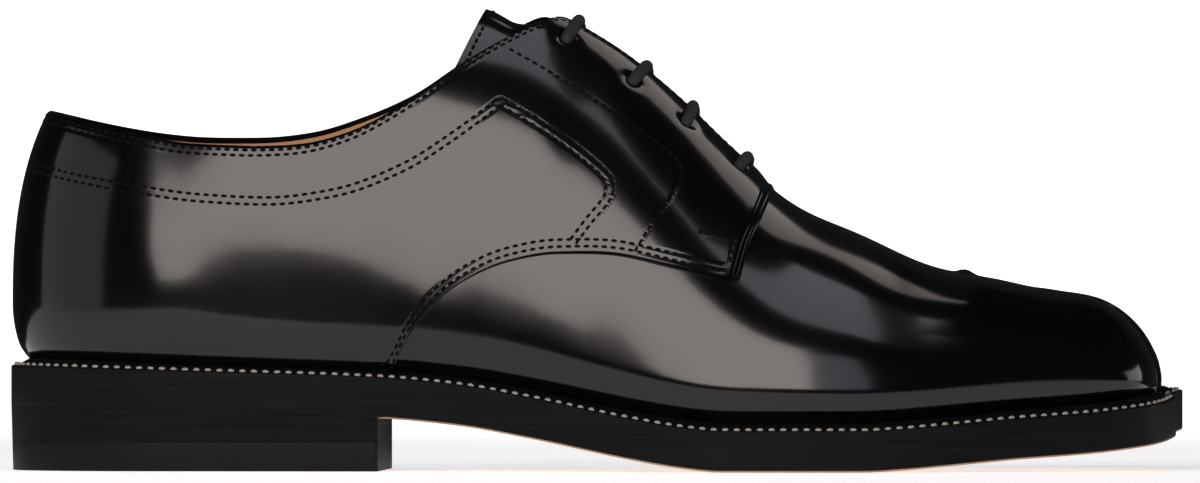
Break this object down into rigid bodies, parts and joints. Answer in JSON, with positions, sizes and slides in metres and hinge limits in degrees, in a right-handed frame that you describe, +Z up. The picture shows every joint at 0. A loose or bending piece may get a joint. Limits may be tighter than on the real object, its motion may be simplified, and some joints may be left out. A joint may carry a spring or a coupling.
{
  "type": "split-toe lace-up shoe",
  "caption": "Low lace-up dress shoe with a split toe, open lacing over a full tongue, a welted leather sole and a low stacked heel; right foot.",
  "frame": {"origin": "middle of the shoe's length and width, on the floor plane that the heel and the forefoot stand on", "axes": "+X from the heel to the toe, +Y to the inner side with the big toe, +Z up"},
  "size_m": [0.2972, 0.1048, 0.1187],
  "materials": {
    "upper_leather": "high gloss polish",
    "sole_leather": "satin edge dressing",
    "insole_leather": "matt",
    "heel_rubber": "satin",
    "lace_cord": "waxed"
  },
  "bodies": {
    "root": {"outsole": "sole_leather", "welt": "sole_leather", "insole": "insole_leather", "heel_top_piece": "heel_rubber", "heel_lift_2": "sole_leather", "heel_lift_1": "sole_leather", "upper": "upper_leather", "quarter_outer_side": "upper_leather", "quarter_inner_side": "upper_leather", "tongue": "upper_leather", "lace_bar_1": "lace_cord", "lace_bar_2": "lace_cord", "lace_bar_3": "lace_cord", "lace_bar_4": "lace_cord"}
  },
  "joints": []
}
